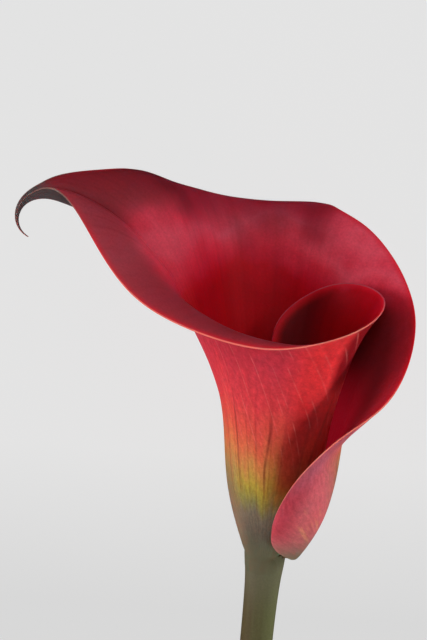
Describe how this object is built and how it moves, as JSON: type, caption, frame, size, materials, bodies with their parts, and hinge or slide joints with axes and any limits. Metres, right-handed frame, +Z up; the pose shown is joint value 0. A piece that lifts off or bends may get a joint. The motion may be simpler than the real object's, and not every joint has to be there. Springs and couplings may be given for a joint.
{
  "type": "cut calla lily flower",
  "caption": "Cut calla lily: a rolled trumpet spathe with a wide lip and a hooked tail, a spadix in its throat, on a smooth fleshy stem, lying on its back.",
  "frame": {"origin": "under the middle of the flower's box, on the surface that it lies on", "axes": "+Z up from the surface, +Y from the cut end towards the mouth of the flower, +X towards the lobe whose outer margin wraps over the tube; the lip and the wrapped margin face up"},
  "size_m": [0.1016, 0.2158, 0.0582],
  "materials": {
    "spathe": "satin",
    "stem": "waxy satin",
    "spadix": "matte, pollen-dusted"
  },
  "bodies": {
    "root": {"spathe": "spathe", "stem": "stem", "spadix": "spadix"}
  },
  "joints": []
}
